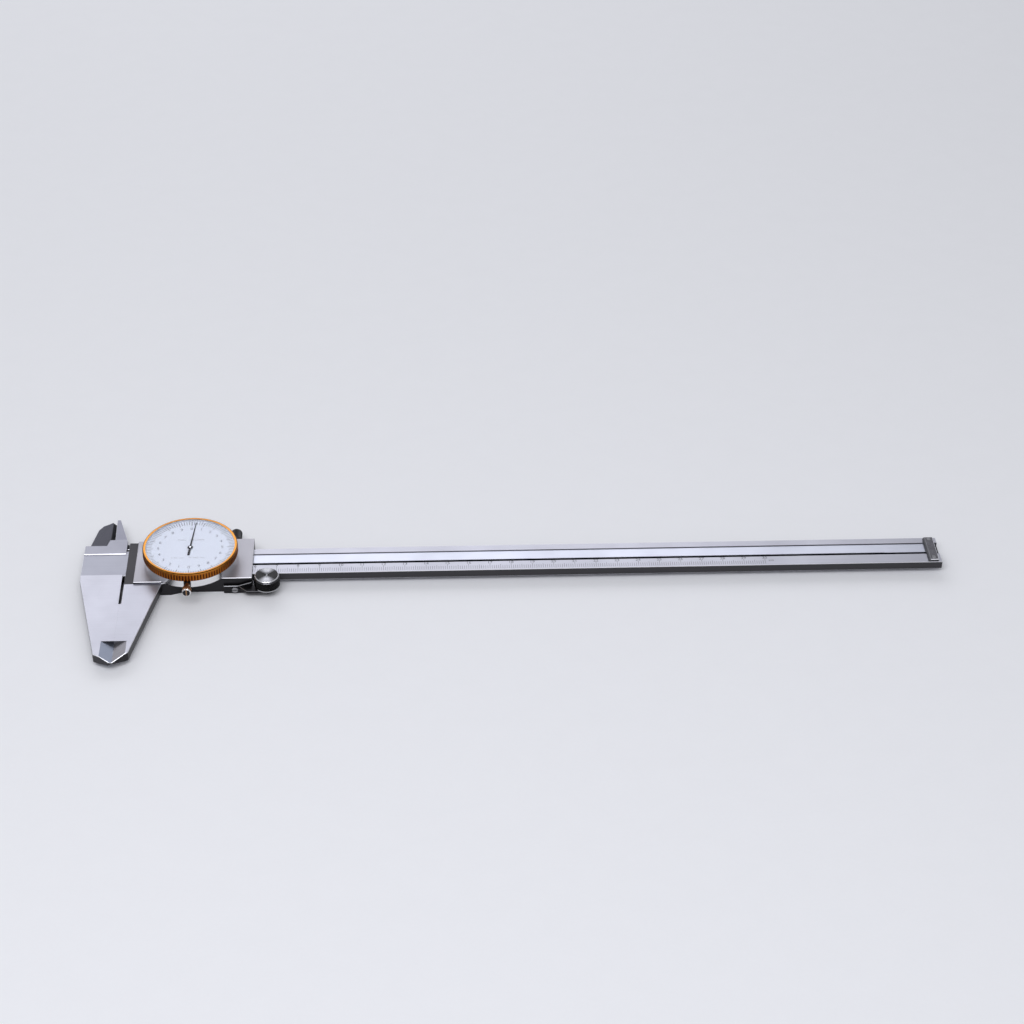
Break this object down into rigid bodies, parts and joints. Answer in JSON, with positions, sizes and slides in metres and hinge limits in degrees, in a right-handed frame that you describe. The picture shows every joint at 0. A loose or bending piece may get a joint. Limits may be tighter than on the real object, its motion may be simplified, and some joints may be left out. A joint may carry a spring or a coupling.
{
  "type": "dial caliper",
  "caption": "Dial caliper: beam with fixed jaws and rack, slider with moving jaws, round geared dial, thumb roller and lock screw.",
  "frame": {"origin": "where the zero plane (the closed measuring faces) crosses the beam's centreline, at the level that the slider's back plate lies on", "axes": "+X along the beam, the way the slider opens; +Y across the beam towards the inside jaws; +Z out of the dial"},
  "size_m": [0.4048, 0.1057, 0.0164],
  "materials": {
    "steel": "satin ground steel",
    "bright_steel": "fine satin steel",
    "dark_steel": "dark turned steel",
    "gold": "gold anodised, knurled",
    "brass": "plain brass",
    "dial_white": "satin white enamel",
    "glass": "clear",
    "needle_black": "black lacquer"
  },
  "bodies": {
    "beam": {"beam": "steel", "rack": "bright_steel", "end_stop": "steel", "end_stop_screws": "bright_steel"},
    "slider": {"slider_body": "steel", "cover_plate": "bright_steel", "back_plate": "steel", "back_plate_screws": "bright_steel", "gib_strip": "brass", "gib_screws": "dark_steel", "depth_rod": "bright_steel", "depth_rod_screw": "bright_steel", "roller_arm": "dark_steel", "roller_arm_screw": "bright_steel", "dial_housing": "steel", "housing_screws": "bright_steel", "movement_plate": "brass", "movement_screws": "bright_steel", "lower_bushes": "gold", "bridge_pillars": "bright_steel", "movement_bridge": "brass", "bridge_screws": "dark_steel", "upper_bushes": "gold", "bezel_retaining_ring": "bright_steel", "bezel_clamp_shoe": "dark_steel"},
    "bezel_clamp": {"bezel_clamp_screw": "gold"},
    "slider_lock": {"lock_screw": "dark_steel"},
    "roller": {"thumb_roller": "bright_steel", "roller_clip": "dark_steel"},
    "bezel": {"bezel_ring": "gold", "crystal": "glass", "dial_face": "dial_white"},
    "drive_arbor": {"rack_pinion": "bright_steel", "drive_gear": "brass", "backlash_gear": "brass", "backlash_spring": "dark_steel"},
    "needle_arbor": {"centre_pinion": "bright_steel", "needle": "needle_black", "needle_hub": "bright_steel"}
  },
  "joints": [
    {"name": "slider_slide", "type": "slide", "parent": "beam", "child": "slider", "axis": [1, 0, 0], "range_m": [0, 0.318]},
    {"name": "roller_turn", "type": "hinge", "parent": "slider", "child": "roller", "pos_m": [0.0668, -0.01548, 0.0065], "axis": [0, 0, 1], "continuous": true},
    {"name": "drive_turn", "type": "hinge", "parent": "slider", "child": "drive_arbor", "pos_m": [0.03775, -0.00189, 0.009], "axis": [0, 0, 1], "continuous": true},
    {"name": "needle_turn", "type": "hinge", "parent": "slider", "child": "needle_arbor", "pos_m": [0.0308, 0, 0.012], "axis": [0, 0, 1], "continuous": true},
    {"name": "bezel_turn", "type": "hinge", "parent": "slider", "child": "bezel", "pos_m": [0.0308, 0, 0.014], "axis": [0, 0, 1], "continuous": true},
    {"name": "bezel_clamp_turn", "type": "hinge", "parent": "slider", "child": "bezel_clamp", "pos_m": [0.0306, -0.0225, 0.0105], "axis": [0, -1, 0], "range_deg": [-90, 180]},
    {"name": "lock_turn", "type": "hinge", "parent": "slider", "child": "slider_lock", "pos_m": [0.0506, 0.02, 0.0045], "axis": [0, 1, 0], "range_deg": [-120, 180]}
  ],
  "couplings": [
    {"joint": "roller_turn", "follows": "slider_slide", "rad_per_m": 167.22},
    {"joint": "drive_turn", "follows": "slider_slide", "rad_per_m": 1570.8},
    {"joint": "needle_turn", "follows": "slider_slide", "rad_per_m": -3141.6}
  ]
}
